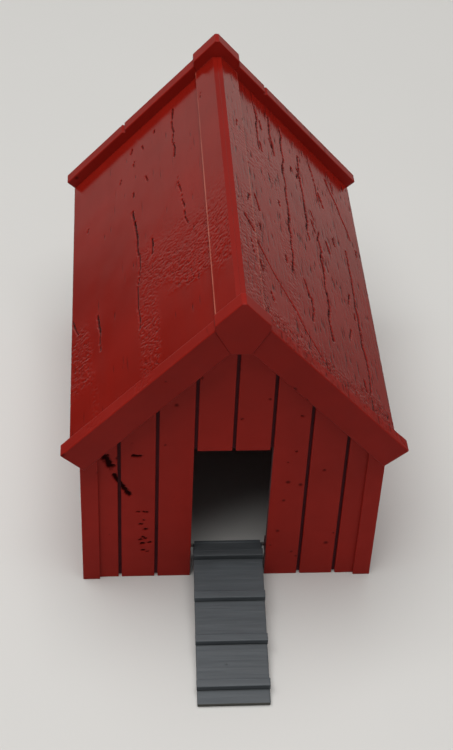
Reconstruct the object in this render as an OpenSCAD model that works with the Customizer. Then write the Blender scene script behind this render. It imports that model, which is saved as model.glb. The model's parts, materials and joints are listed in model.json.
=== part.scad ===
// Tabletop model of a small gable-roofed chicken coop with a ramp that folds up over its pop hole.
// X runs across the front, Y from the front to the rear, Z up. The origin is on the ground,
// below the middle of the whole model, ramp included.

/* [House] */
// Width over the outer faces of the corner trims
house_w = 73; // [62:0.5:90]
// Length over the outer faces of the front and rear corner trims
house_len = 105; // [80:1:130]

/* [Walls] */
// Thickness of the sheet behind the boards of each wall
sheet_t = 1.6; // [1.2:0.1:2.2]
// Thickness of the wall boards
board_t = 1.0; // [0.8:0.1:1.5]
// Gap between one wall board and the next
groove_w = 0.8; // [0.4:0.1:1.2]
// Number of boards across a gable wall, an even number
gable_boards = 8; // [6:2:8]
// Number of boards along a side wall
side_boards = 11; // [8:1:11]
// Width of each leg of the corner trims
trim_w = 4.3; // [3:0.1:6]
// Thickness of the corner trims
trim_t = 0.7; // [0.5:0.1:1.2]

/* [Pop hole] */
// Height of the pop hole above the ground
door_h = 44.4; // [38:0.2:48]
// Number of gable boards cut short above the pop hole
door_boards = 2; // [2:2:2]

/* [Roof] */
// Height of the roof surface at the eaves
eave_h = 46.1; // [44:0.1:56]
// Slope of each roof face
roof_pitch = 47.5; // [42:0.5:52]
// Reach of the roof beyond the corner trims, on each side
eave_out = 2.4; // [1.5:0.1:4]
// Thickness of the roof panels
roof_t = 2.0; // [1.5:0.1:2.6]
// Width of each ridge board across the house
ridge_board_w = 5.8; // [4:0.1:9]
// Thickness of the ridge boards
ridge_board_t = 0.9; // [0.7:0.1:1.4]
// Width of the flat along the top of the ridge
ridge_flat_w = 2.4; // [1.6:0.1:3]

/* [Rakes] */
// Width of the rake boards, square to the slope
rake_w = 7.5; // [6:0.1:9]
// Thickness of the rake boards
rake_t = 3.8; // [2.5:0.1:5]
// Height of the rake boards above the roof surface, square to the slope
rake_lip = 2.65; // [1.5:0.05:3]
// Width of the saw nick in the top edge of each rear rake board
nick_w = 0.7; // [0.4:0.1:1]
// Depth of the saw nick
nick_depth = 0.6; // [0.3:0.1:1]
// Distance of the left nick from the middle of the house
nick_left_x = 25; // [15:0.5:30]
// Distance of the right nick from the middle of the house
nick_right_x = 13.8; // [10:0.1:30]

/* [Peak plates] */
// Half width of a peak plate at its shoulders
plate_half_w = 6.2; // [5:0.1:8]
// Half width of the foot of a peak plate
plate_foot_half_w = 2.35; // [1.5:0.05:4]
// Height of a peak plate above the rake boards, square to the slope
plate_rise = 0.9; // [0.5:0.1:1.4]
// Distance by which a peak plate stands proud of the rake boards
plate_proud = 0.25; // [0:0.05:0.6]
// Width of the flat at the tip of a peak plate
plate_tip_w = 1.0; // [0.5:0.1:2]

/* [Ramp] */
// Length of the ramp from its hinge axis to its toe
ramp_len = 45; // [36:0.5:56]
// Side clearance between the ramp deck and each jamb
ramp_side_gap = 0.75; // [0.65:0.05:1]
// Thickness of the ramp deck
deck_t = 1.2; // [0.9:0.1:1.4]
// Sideways offset of the toe from the middle of the hinge
toe_skew = 0.7; // [0:0.1:0.8]
// Distance from the toe to the lowest cleat
cleat_start = 3.6; // [2:0.1:6]
// Spacing of the cleats
cleat_pitch = 12.1; // [8:0.1:16]
// Width of a cleat along the ramp
cleat_w = 2.5; // [1.5:0.1:3]
// Height of a cleat above the deck
cleat_h = 1.3; // [0.8:0.1:1.6]
// Distance by which a cleat stands out past each edge of the deck
cleat_out = 0.1; // [0:0.05:0.15]

/* [Hinge] */
// Height of the hinge axis above the ground
hinge_h = 7.5; // [6.5:0.1:9]
// Diameter of the hinge rod
rod_d = 1.0; // [0.8:0.1:1.2]
// Radial clearance of the barrel on the rod
barrel_clear = 0.05; // [0.03:0.01:0.1]
// Radial clearance of the rod in its blocks
block_clear = 0.03; // [0.02:0.01:0.05]
// Outer diameter of the barrel on the ramp's upper end
barrel_d = 2.0; // [1.8:0.1:2.4]
// Setback of each end of the barrel from the edge of the deck
barrel_setback = 0.35; // [0.2:0.05:0.6]
// Depth of the hinge blocks from the wall into the house
block_d = 2.0; // [1.8:0.1:3]
// Width of each hinge block along the rod
block_w = 3.0; // [2.4:0.1:4]
// Height of each hinge block
block_h = 4.0; // [3:0.1:5]
// Depth of the rod's hole in each hinge block
block_hole = 2.2; // [1.5:0.1:2.3]
// Gap between each end of the rod and the bottom of its hole
rod_end_gap = 0.1; // [0.05:0.05:0.3]

/* [Hidden] */
left = -1;
right = 1;
front = 0;
rear = 1;
round_fn = 48;
over = 1;
// Thickness of the ridge boards where they meet on the middle line
ridge_core_t = 0.7 * ridge_board_t;

// Walls, from outside to inside
trim_x = house_w / 2;
board_x = trim_x - trim_t;
sheet_x = board_x - board_t;
inner_x = sheet_x - sheet_t;
board_y = trim_t;
sheet_y = board_y + board_t;
inner_y = sheet_y + sheet_t;

// Boards
gable_pitch = (2 * board_x + groove_w) / gable_boards;
side_run = house_len - 2 * sheet_y;
side_pitch = (side_run + groove_w) / side_boards;
door_half_w = door_boards / 2 * gable_pitch + groove_w / 2;

// Roof: a point on either slope is given by its distance down the slope from the ridge line
// and its height square to the roof surface
slope_run = (trim_x + eave_out) / cos(roof_pitch);
ridge_z = eave_h + slope_run * sin(roof_pitch);
ridge_flat_z = z_above(ridge_flat_w / 2, ridge_board_t);
panel_flat_z = ridge_flat_z - ridge_core_t;
panel_flat_x = (ridge_z - panel_flat_z) / tan(roof_pitch);
rake_foot = rake_lip - rake_w;
plate_top = rake_lip + plate_rise;

// Ramp: tilted so that the lower edge of its toe just meets the ground
barrel_r = barrel_d / 2;
deck_drop = deck_t - barrel_r;
hinge_y = inner_y + block_d / 2;
ramp_tilt = asin(hinge_h / norm([ramp_len, deck_drop])) - atan(deck_drop / ramp_len);
deck_w = 2 * (door_half_w - ramp_side_gap);
cleat_count = 1 + floor((ramp_len - cleat_start - cleat_w - barrel_r) / cleat_pitch);
rod_len = 2 * (door_half_w + block_hole - rod_end_gap);

// The origin lies midway between the ramp's toe and the rear peak plate
toe_y = hinge_y - ramp_len * cos(ramp_tilt) - barrel_r * sin(ramp_tilt);
rear_y = house_len + rake_t + plate_proud;
mid_y = (toe_y + rear_y) / 2;

red = "#7d1d19";
dark_red = "#5c1714";
grey = "#4d5357";
steel = "#8b8f92";

function numbered(prefix, n) = [for (i = [1:n]) str(prefix, i)];

// Point on the right slope, down_slope from the ridge and height above the roof surface
function on_slope(down_slope, height) = [
    down_slope * cos(roof_pitch) + height * sin(roof_pitch),
    ridge_z - down_slope * sin(roof_pitch) + height * cos(roof_pitch)
];
// Height at x of the line that runs parallel to the roof surface, height above it
function z_above(x, height) = ridge_z + height / cos(roof_pitch) - x * tan(roof_pitch);
// Height at x of the underside of the roof
function under_roof(x) = z_above(x, -roof_t);

// Extrudes an outline drawn in X and Z from y0 to y1
module along_y(y0, y1) {
    translate([0, y1, 0]) rotate([90, 0, 0]) linear_extrude(y1 - y0) children();
}

// Draws the children on the right-hand or the left-hand side
module on_side(side) {
    if (side == left) mirror([1, 0, 0]) children();
    else children();
}

// Draws the children at the front of the house or, turned end for end, at the rear
module at_end(end) {
    if (end == rear) translate([0, house_len, 0]) mirror([0, 1, 0]) children();
    else children();
}

// Moves the house frame, which starts at the front corner trims, to the model's origin
module placed() {
    translate([0, -mid_y, 0]) children();
}

// Outline of a gable, half_w to each side, from the ground to the underside of the roof
module gable_outline(half_w) {
    polygon([
        [-half_w, 0], [half_w, 0], [half_w, under_roof(half_w)],
        [0, under_roof(0)], [-half_w, under_roof(half_w)]
    ]);
}

// Sheet behind the boards of a gable wall
module gable_sheet(end) {
    color(dark_red) placed() at_end(end) along_y(sheet_y, inner_y) difference() {
        gable_outline(sheet_x);
        if (end == front) translate([-door_half_w, -over]) square([2 * door_half_w, door_h + over]);
    }
}

// Sheet behind the boards of a side wall, its top bevelled to the roof
module side_sheet(side) {
    color(dark_red) placed() on_side(side) along_y(inner_y, house_len - inner_y) polygon([
        [inner_x, 0], [sheet_x, 0], [sheet_x, under_roof(sheet_x)], [inner_x, under_roof(inner_x)]
    ]);
}

// One upright board of a gable wall; the middle ones of the front start above the pop hole
module gable_board(end, i) {
    x0 = -board_x + i * gable_pitch;
    centre_x = x0 + (gable_pitch - groove_w) / 2;
    z0 = end == front && abs(centre_x) < door_half_w ? door_h : 0;
    color(red) placed() at_end(end) along_y(board_y, sheet_y) intersection() {
        gable_outline(board_x);
        translate([x0, z0]) square([gable_pitch - groove_w, ridge_z]);
    }
}

// One upright board of a side wall
module side_board(side, i) {
    y0 = sheet_y + i * side_pitch;
    color(red) placed() on_side(side) along_y(y0, y0 + side_pitch - groove_w) polygon([
        [sheet_x, 0], [board_x, 0], [board_x, under_roof(board_x)], [sheet_x, under_roof(sheet_x)]
    ]);
}

// Angle trim that wraps a corner of the house, over the ends of the boards
module corner_trim(end, side) {
    color(red) placed() at_end(end) on_side(side) intersection() {
        linear_extrude(ridge_z) difference() {
            translate([trim_x - trim_w, 0]) square([trim_w, trim_w]);
            translate([trim_x - trim_w - over, trim_t]) square([trim_w - trim_t + over, trim_w]);
        }
        along_y(-over, trim_w + over) gable_outline(trim_x);
    }
}

// Roof panel, its upper edge cut upright on the middle line and levelled under the ridge boards
module roof_panel(side) {
    color(red) placed() on_side(side) along_y(0, house_len) polygon([
        [0, panel_flat_z], [panel_flat_x, panel_flat_z],
        on_slope(slope_run, 0), on_slope(slope_run, -roof_t), [0, under_roof(0)]
    ]);
}

// Ridge board along the top of one roof panel, levelled along the middle line
module ridge_board(side) {
    outer_top = [ridge_board_w, z_above(ridge_board_w, ridge_board_t)];
    outer_foot = outer_top - ridge_board_t * [sin(roof_pitch), cos(roof_pitch)];
    color(red) placed() on_side(side) along_y(0, house_len) polygon([
        [0, ridge_flat_z], [ridge_flat_w / 2, ridge_flat_z], outer_top, outer_foot,
        [panel_flat_x, panel_flat_z], [0, panel_flat_z]
    ]);
}

// Saw nick across the top edge of a rake board, nick_x from the middle of the house
module rake_nick(nick_x) {
    translate([nick_x, z_above(nick_x, rake_lip)]) rotate(-roof_pitch)
        translate([-nick_w / 2, -nick_depth]) square([nick_w, nick_depth + over]);
}

// Rake board across the end of one roof panel, from the peak plate to the eave
module rake_board(end, side) {
    color(red) placed() at_end(end) on_side(side) along_y(-rake_t, 0) difference() {
        polygon([
            [plate_half_w, z_above(plate_half_w, rake_lip)],
            on_slope(slope_run, rake_lip), on_slope(slope_run, rake_foot),
            [plate_foot_half_w, z_above(plate_foot_half_w, rake_foot)]
        ]);
        if (end == rear) rake_nick(side == left ? nick_left_x : nick_right_x);
    }
}

// Right half of a peak plate's outline, from its tip to its foot
function plate_half() = [
    [plate_tip_w / 2, z_above(plate_tip_w / 2, plate_top)],
    [plate_half_w, z_above(plate_half_w, plate_top)],
    [plate_half_w, z_above(plate_half_w, rake_lip)],
    [plate_foot_half_w, z_above(plate_foot_half_w, rake_foot)]
];

// Plate that closes the joint of two rake boards at the peak
module peak_plate(end) {
    half = plate_half();
    other_half = [for (i = [len(half) - 1:-1:0]) [-half[i].x, half[i].y]];
    color(red) placed() at_end(end) along_y(-rake_t - plate_proud, 0) polygon(concat(half, other_half));
}

// Puts the children, drawn along -Y from the hinge axis, at the ramp's place
module on_ramp() {
    placed() translate([0, hinge_y, hinge_h]) rotate([ramp_tilt, 0, 0]) children();
}

// Outline of a stretch of the ramp, seen from above, from one distance below the hinge to another
module ramp_outline(from, to, half_w) {
    drift = toe_skew / ramp_len;
    polygon([
        [-half_w - from * drift, -from], [half_w - from * drift, -from],
        [half_w - to * drift, -to], [-half_w - to * drift, -to]
    ]);
}

// Bar along X, centred on the origin
module bar(diameter, length) {
    rotate([0, 90, 0]) cylinder(d = diameter, h = length, center = true, $fn = round_fn);
}

// Ramp deck with the hinge barrel along its upper end
module ramp_deck() {
    color(grey) on_ramp() difference() {
        union() {
            translate([0, 0, barrel_r - deck_t]) linear_extrude(deck_t)
                ramp_outline(0, ramp_len, deck_w / 2);
            bar(barrel_d, deck_w - 2 * barrel_setback);
        }
        bar(rod_d + 2 * barrel_clear, deck_w + 2 * over);
    }
}

// Cleats across the ramp, evenly spaced from the toe upwards
module ramp_cleats() {
    color(grey) on_ramp() for (i = [0:cleat_count - 1]) {
        lower = ramp_len - cleat_start - i * cleat_pitch;
        translate([0, 0, barrel_r]) linear_extrude(cleat_h)
            ramp_outline(lower - cleat_w, lower, deck_w / 2 + cleat_out);
    }
}

// Rod that the ramp turns on
module hinge_rod() {
    color(steel) placed() translate([0, hinge_y, hinge_h]) bar(rod_d, rod_len);
}

// Block inside the wall beside each jamb, with a blind hole for the rod
module hinge_blocks() {
    color(dark_red) placed() for (side = [left, right]) on_side(side) difference() {
        translate([door_half_w, inner_y, hinge_h - block_h / 2]) cube([block_w, block_d, block_h]);
        translate([door_half_w, hinge_y, hinge_h]) bar(rod_d + 2 * block_clear, 2 * block_hole);
    }
}

gable_sheet(front);  // front_wall
gable_sheet(rear);  // rear_wall
side_sheet(left);  // left_wall
side_sheet(right);  // right_wall
for (i = [0:gable_boards - 1]) {
    gable_board(front, i);
    gable_board(rear, i);
}
for (i = [0:side_boards - 1]) {
    side_board(left, i);
    side_board(right, i);
}
corner_trim(front, left);  // corner_trim_front_left
corner_trim(front, right);  // corner_trim_front_right
corner_trim(rear, left);  // corner_trim_rear_left
corner_trim(rear, right);  // corner_trim_rear_right
roof_panel(left);  // roof_left
roof_panel(right);  // roof_right
ridge_board(left);  // ridge_board_left
ridge_board(right);  // ridge_board_right
rake_board(front, left);  // rake_front_left
rake_board(front, right);  // rake_front_right
rake_board(rear, left);  // rake_rear_left
rake_board(rear, right);  // rake_rear_right
peak_plate(front);  // peak_plate_front
peak_plate(rear);  // peak_plate_rear
ramp_deck();
ramp_cleats();
hinge_rod();
hinge_blocks();
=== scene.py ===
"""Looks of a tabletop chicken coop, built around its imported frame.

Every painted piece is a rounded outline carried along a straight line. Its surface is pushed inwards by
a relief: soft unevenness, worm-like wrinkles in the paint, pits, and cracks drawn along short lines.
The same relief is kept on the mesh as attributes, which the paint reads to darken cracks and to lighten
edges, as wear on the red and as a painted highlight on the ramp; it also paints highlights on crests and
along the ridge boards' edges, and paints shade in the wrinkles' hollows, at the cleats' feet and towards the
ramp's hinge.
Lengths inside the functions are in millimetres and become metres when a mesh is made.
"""
import json
import math

import bpy
import numpy as np
from bpy.props import FloatProperty, FloatVectorProperty, PointerProperty
from bpy.types import Operator, Panel, PropertyGroup
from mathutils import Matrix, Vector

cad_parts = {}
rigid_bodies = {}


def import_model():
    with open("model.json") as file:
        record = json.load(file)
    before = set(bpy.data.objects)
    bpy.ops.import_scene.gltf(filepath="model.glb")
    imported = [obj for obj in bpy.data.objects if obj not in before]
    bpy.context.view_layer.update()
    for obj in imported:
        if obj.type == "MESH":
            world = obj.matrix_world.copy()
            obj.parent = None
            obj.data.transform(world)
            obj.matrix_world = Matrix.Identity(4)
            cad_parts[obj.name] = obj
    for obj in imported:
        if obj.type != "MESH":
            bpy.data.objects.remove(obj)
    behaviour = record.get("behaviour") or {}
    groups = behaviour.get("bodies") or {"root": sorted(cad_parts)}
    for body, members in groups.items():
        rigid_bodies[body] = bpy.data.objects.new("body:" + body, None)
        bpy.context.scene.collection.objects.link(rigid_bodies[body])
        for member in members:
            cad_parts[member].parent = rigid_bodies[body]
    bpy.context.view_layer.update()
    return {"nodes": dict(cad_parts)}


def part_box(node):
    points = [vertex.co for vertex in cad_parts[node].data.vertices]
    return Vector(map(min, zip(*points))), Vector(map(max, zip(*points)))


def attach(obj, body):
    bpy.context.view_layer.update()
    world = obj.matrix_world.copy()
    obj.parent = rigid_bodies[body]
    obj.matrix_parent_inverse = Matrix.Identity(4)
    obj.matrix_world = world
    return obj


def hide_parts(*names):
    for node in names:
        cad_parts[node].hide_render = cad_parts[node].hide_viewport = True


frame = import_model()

bl_info = {
    "name": "Chicken coop",
    "version": (1, 0, 0),
    "blender": (4, 5, 0),
    "location": "View3D > Sidebar > Coop",
    "description": "Paints and details a small chicken coop around its packed frame",
    "category": "Object",
}

MM = 0.001

ROOF_ANGLE = math.radians(47.5)
DOWN = np.array([math.cos(ROOF_ANGLE), -math.sin(ROOF_ANGLE)])
UP = np.array([math.sin(ROOF_ANGLE), math.cos(ROOF_ANGLE)])


# ---------------------------------------------------------------- frame readings


def corners(node):
    """Distinct corner points of a CAD node, in millimetres."""
    data = frame["nodes"][node].data
    flat = np.empty(len(data.vertices) * 3)
    data.vertices.foreach_get("co", flat)
    return np.unique(np.round(flat.reshape(-1, 3) / MM, 3), axis=0)


def span(node):
    """Lowest and highest corner of a CAD node, in millimetres."""
    low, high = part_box(node)
    return np.array(low) / MM, np.array(high) / MM


def ridge_height(node):
    """Height at which a roof panel's upper surface would reach the middle of the house.

    Every corner lies on that surface or below it, so it is the most that z + |x| tan(slope) comes to.
    """
    points = corners(node)
    return float((points[:, 2] + np.abs(points[:, 0]) * math.tan(ROOF_ANGLE)).max())


# Both ends of the roof panels along the house, and the height of the ridge line
FRONT_Y = span("roof_left")[0][1]
REAR_Y = span("roof_left")[1][1]
ROOF_PEAK = ridge_height("roof_left")


# ---------------------------------------------------------------- random fields


def smooth(low, high, value):
    """Rises from 0 at low to 1 at high, flat at both ends."""
    t = np.clip((value - low) / (high - low), 0.0, 1.0)
    return t * t * (3.0 - 2.0 * t)


# Cells each way after which a random field repeats
CELLS = 128


def rolling(u, v, seed):
    """Smooth random field, about -1 to 1.

    Each whole point of the plane has a random slope. The four slopes around a place are followed to it
    and mixed with a curve that is flat at both ends.
    """
    angle = np.random.default_rng(seed).random((CELLS, CELLS)) * 2.0 * math.pi
    iu, iv = np.floor(u).astype(int), np.floor(v).astype(int)
    fu, fv = u - iu, v - iv

    def slope(du, dv):
        turn = angle[(iu + du) % CELLS, (iv + dv) % CELLS]
        return np.cos(turn) * (fu - du) + np.sin(turn) * (fv - dv)

    wu = fu * fu * fu * (fu * (fu * 6.0 - 15.0) + 10.0)
    wv = fv * fv * fv * (fv * (fv * 6.0 - 15.0) + 10.0)
    near = slope(0, 0) * (1 - wu) + slope(1, 0) * wu
    far = slope(0, 1) * (1 - wu) + slope(1, 1) * wu
    return 1.5 * (near * (1 - wv) + far * wv)


def layered(u, v, seed, layers=3):
    """Sum of rolling fields, each twice as fine and half as strong as the one before."""
    total = 0.0
    for k in range(layers):
        total = total + rolling(u * 2.0**k + 7.3 * k, v * 2.0**k + 3.1 * k, seed + k) * 0.5**k
    return total


def pits(u, v, seed, share):
    """Small round hollows: one per unit cell in a share of the cells, 1 in the middle and 0 outside."""
    draw = np.random.default_rng(seed)
    there = draw.random((CELLS, CELLS)) < share
    size = 0.15 + 0.3 * draw.random((CELLS, CELLS))
    mid_u, mid_v = draw.random((CELLS, CELLS)), draw.random((CELLS, CELLS))
    iu, iv = np.floor(u).astype(int), np.floor(v).astype(int)
    depth = np.zeros_like(u)
    for du in (-1, 0, 1):
        for dv in (-1, 0, 1):
            a, b = (iu + du) % CELLS, (iv + dv) % CELLS
            away = np.hypot(u - iu - du - mid_u[a, b], v - iv - dv - mid_v[a, b])
            depth = np.maximum(depth, there[a, b] * smooth(0.0, 1.0, 1.0 - away / size[a, b]))
    return depth


def drawn(u, v, marks):
    """Depth of drawn cracks, 0 to 1: each mark is a half width followed by the points of its line.

    A place takes 1 minus its distance from the nearest stretch of line over the half width, which a
    rolling field widens and narrows.
    """
    depth = np.zeros_like(u)
    ragged = 1.0 + 0.6 * rolling(u / 1.1, v / 0.9, 71) + 0.6 * rolling(u / 0.5, v / 0.4, 72)
    ragged = np.maximum(ragged, 0.12)
    for half, *line in marks:
        for (u0, v0), (u1, v1) in zip(line[:-1], line[1:]):
            reach = half * 2.0
            inside = (
                (u > min(u0, u1) - reach)
                & (u < max(u0, u1) + reach)
                & (v > min(v0, v1) - reach)
                & (v < max(v0, v1) + reach)
            )
            if not inside.any():
                continue
            pu, pv = u[inside] - u0, v[inside] - v0
            eu, ev = u1 - u0, v1 - v0
            t = np.clip((pu * eu + pv * ev) / (eu * eu + ev * ev), 0.0, 1.0)
            away = np.hypot(pu - t * eu, pv - t * ev)
            here = smooth(0.0, 0.75, 1.0 - away / (half * ragged[inside]))
            depth[inside] = np.maximum(depth[inside], here)
    return depth


def worms(u, v, seed, size, length=1.5):
    """Wrinkled paint: thin crests that wander, 0 in the hollows and 1 on the crests.

    The plane is bent by two rolling fields, and the crests run where a third field passes through 0.
    length draws them out along u.
    """
    bend_u = u + 1.1 * size * rolling(u / (2.2 * size), v / (1.8 * size), seed)
    bend_v = v + 0.7 * size * rolling(u / (2.2 * size), v / (1.8 * size), seed + 1)
    field = rolling(bend_u / (length * size), bend_v / (0.8 * size), seed + 2)
    fine = rolling(bend_u / (0.6 * length * size), bend_v / (0.45 * size), seed + 3)
    return smooth(0.0, 1.0, 1.0 - 3.4 * np.abs(field + 0.4 * fine))


# ---------------------------------------------------------------- marks, in millimetres


def wavering(half, start, stop, seed):
    """Marks of one crack: the straight line from start to stop is cut into stretches of about 4 mm, and a
    seeded draw moves each joint sideways and widens or narrows each stretch.
    """
    draw = np.random.default_rng(seed)
    start, run = np.array(start, float), np.subtract(stop, start).astype(float)
    reach = float(np.hypot(*run))
    count = max(1, round(reach / 4.0))
    sideways = np.array([run[1], -run[0]]) / reach * min(0.5, reach / 12.0)
    share = np.linspace(0.0, 1.0, count + 1)[:, None]
    joints = start + run * share + sideways * draw.uniform(-1.0, 1.0, (count + 1, 1))
    widths = half * draw.uniform(0.6, 1.5, count)
    return [(w, tuple(a), tuple(b)) for w, a, b in zip(widths, joints[:-1], joints[1:])]


def strewn(count, low, high, reach, half, seed):
    """Marks of short flecks: seeded places between two corners, each drawn out along the first direction by
    up to reach and turned a little.
    """
    draw = np.random.default_rng(seed)
    places = draw.uniform(low, high, (count, 2))
    length = reach * draw.uniform(0.3, 1.0, (count, 1))
    runs = length * np.stack([np.ones(count), draw.uniform(-0.3, 0.3, count)], 1)
    widths = half * draw.uniform(0.6, 1.3, count)
    return [(w, tuple(a), tuple(b)) for w, a, b in zip(widths, places, places + runs)]


def cracks_from(rows, seed):
    """Marks of several cracks, each a half width and its two ends."""
    return [mark for k, row in enumerate(rows) for mark in wavering(*row, seed + k)]


# A place on a slope is along the house from the roof's front edge, then down from the ridge. Each row is the
# half width and the two ends of a crack, set at or near measured places in whole millimetres. The draws give
# all that is finer.
LEFT_SLOPE_MARKS = cracks_from((
    (0.3, (70, 34), (50, 32)),
    (0.15, (50, 32), (22, 33)),
    (0.25, (52, 27), (46, 27)),
    (0.2, (100, 18), (78, 18)),
    (0.18, (68, 17), (46, 15)),
    (0.25, (46, 57), (39, 55)),
    (0.25, (40, 48), (26, 46)),
), 300) + strewn(9, (48, 4), (98, 56), 3.0, 0.22, 340)
RIGHT_SLOPE_MARKS = cracks_from((
    (0.25, (100, 15), (78, 15)),
    (0.25, (100, 21), (82, 21)),
    (0.25, (100, 26), (34, 23)),
    (0.35, (60, 37), (20, 36)),
    (0.3, (68, 50), (12, 50)),
    (0.2, (100, 38), (80, 40)),
    (0.22, (96, 46), (76, 53)),
    (0.25, (38, 4), (6, 32)),
    (0.25, (94, 33), (56, 32)),
), 400) + strewn(34, (10, 4), (98, 56), 6.0, 0.25, 440)
# Across the front from its middle, then up from the ground
FRONT_WALL_MARKS = cracks_from((
    (1.0, (-31, 44), (-29, 40)),
    (0.6, (-28, 37), (-25, 30)),
    (0.4, (-24, 43), (-22, 43)),
), 500) + strewn(14, (-23, 9), (-20, 24), 0.7, 0.35, 540) + strewn(5, (-6, 40), (34, 66), 0.5, 0.32, 560)


# ---------------------------------------------------------------- reliefs


def plain_relief(u, v, seed):
    """Soft unevenness of cast and painted board, with a few fine pinholes."""
    depth = 0.02 + 0.02 * layered(u / 9.0, v / 14.0, seed) + 0.004 * layered(u / 0.9, v / 1.4, seed + 5)
    holes = pits(u / 2.4, v / 2.4, seed + 9, 0.03)
    return {"depth": depth + 0.1 * holes, "crack": 0.55 * holes, "crest": np.zeros_like(u)}


def wall_relief(u, v, seed, marks=()):
    """Plain board with the chips drawn on it, and a faint swirl low on the third board."""
    out = plain_relief(u, v, seed)
    chips = drawn(u, v, marks)
    swirl = smooth(0.0, 1.0, 1.0 - np.hypot((u + 13.5) / 3.4, (v - 27.0) / 9.0)) * worms(v, u, 40, 1.1)
    rough = smooth(0.0, 1.0, 1.0 - np.hypot((u + 21.3) / 3.0, (v - 17.5) / 8.0)) * worms(v, u, 43, 0.8)
    out["depth"] = out["depth"] + 0.45 * chips - 0.02 * swirl - 0.03 * rough
    out["crack"] = np.maximum(out["crack"], chips)
    # The crests of the swirl and the rough patch, which the paint lightens as a painted highlight.
    out["crest"] = 0.5 * swirl + 0.5 * rough
    return out


def rough_share(side, y, d):
    """How wrinkled the paint is at a place of a slope, 0 to 1."""
    stray = 2.2 * layered(y / 7.0, d / 7.0, 11 + side)
    if side < 0:
        front_edge = 19.0 + 0.42 * (d - 2.0) + 1.6 * stray
        patch = smooth(-2.0, 1.6, y - front_edge) * (1.0 - 0.93 * smooth(30.0, 58.0, y + 2.0 * stray))
        patch = patch * smooth(-1.0, 6.0, 31.0 + 1.2 * stray - d + 0.1 * (40.0 - y))
        strip = smooth(0.0, 1.6, d - 25.2 - 0.3 * stray) * smooth(0.0, 1.6, 33.2 + 0.3 * stray - d)
        strip = strip * smooth(0.0, 14.0, 58.0 - y + stray) * (0.75 + 0.25 * smooth(26.0, 18.0, y))
        eave = smooth(0.0, 3.0, d - 46.0 - 0.6 * stray - 0.08 * y) * smooth(0.0, 4.0, y - 13.0 + stray)
        eave = eave * smooth(0.0, 8.0, 44.0 - y + stray)
        tail = smooth(0.0, 2.0, 2.5 - np.abs(d - 48.5))
        tail = tail * smooth(0.0, 3.0, 16.0 - y) * smooth(0.0, 3.0, y - 2.0)
        edge = 0.7 * smooth(0.0, 2.5, 4.5 - np.abs(d - 46.5)) * smooth(0.0, 1.0, 1.0 - y)
        return np.clip(np.maximum.reduce([patch, strip, 0.95 * eave, 0.6 * tail, edge]), 0.0, 1.0)
    front = smooth(0.0, 6.0, 14.0 - y + 1.5 * stray) * smooth(0.0, 5.0, d - 4.0)
    ridge = 0.7 * smooth(0.0, 3.0, 12.0 + 0.8 * stray - d) * smooth(0.0, 20.0, 60.0 - y)
    middle = 0.5 * smooth(0.0, 3.0, 4.0 - np.abs(d - 22.0 - 0.5 * stray)) * smooth(0.0, 20.0, 60.0 - y)
    back = 0.45 * smooth(0.0, 8.0, 12.0 - np.abs(y - 72.0)) * smooth(0.0, 6.0, 26.0 - d + stray)
    return np.clip(np.maximum.reduce([0.9 * front, ridge, middle, back]), 0.0, 1.0)


def roof_relief(side, y, d):
    """Relief of a slope: unevenness, wrinkled patches, fine lines along the house, pits and drawn cracks."""
    marks = LEFT_SLOPE_MARKS if side < 0 else RIGHT_SLOPE_MARKS
    cracks = drawn(y, d, marks)
    beside = drawn(y, d, [(half + 0.8, *line) for half, *line in marks])
    share = np.maximum(rough_share(side, y, d), 0.5 * beside)
    right = float(side > 0)
    broken = 0.7 + 0.45 * rolling(y / 2.6, d / 2.2, 64 + side)
    crests = worms(y, d, 20 + side, 0.58, 1.5 + 1.1 * right) * np.clip(broken, 0.15, 1.0)
    crests = np.maximum(crests, 0.75 * worms(y, d, 60 + side, 0.42, 2.2 + 1.2 * right))
    hollows = worms(y + 1.7, d + 0.4, 27 + side, 0.7, 1.8)
    near = 0.25 * smooth(26.0, 6.0, d) * (1.0 - right)
    grain = smooth(0.2, 0.75, layered(y / 9.0, d / 0.42, 33 + side, 2))
    grain = grain * (0.1 + near + 0.5 * right + 0.35 * share)
    gate = smooth(-0.55, 0.15, rolling(y / 13.0, d / 8.0, 39))
    dashes = pits(y / 6.5, d / 0.75, 37 + side, 0.05 + 0.17 * right) * gate * (0.45 + 0.45 * right)
    fine = pits(y / 11.0, d / 0.5, 47 + side, 0.07 + 0.2 * right) * (0.35 + 0.35 * right)
    holes = pits(y / 0.95, d / 0.75, 38 + side, 0.32) * smooth(0.4, 0.85, share) * (0.6 + 0.4 * right)
    flecks = np.maximum.reduce([holes, dashes, fine])
    troughs = hollows * share * (1 - crests)
    depth = 0.12 + 0.03 * layered(y / 16.0, d / 10.0, 51 + side, 2)
    depth = depth - 0.13 * crests * share + 0.08 * troughs + 0.06 * grain + 0.16 * flecks + 0.55 * cracks
    # Dark marks: cracks, pits, dashes and some grain, and painted shade in the hollows between the wrinkles.
    # The crests, kept below, are lightened in the paint as a painted highlight.
    dark = np.maximum.reduce([cracks, 0.85 * holes, dashes, fine, 0.3 * grain, 0.3 * troughs])
    return {"depth": depth, "crack": np.clip(dark, 0, 1), "crest": crests * share * (1 - cracks)}


# ---------------------------------------------------------------- solids


# Distance of the extra places from each rounded corner
GUARD = 0.06


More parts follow.
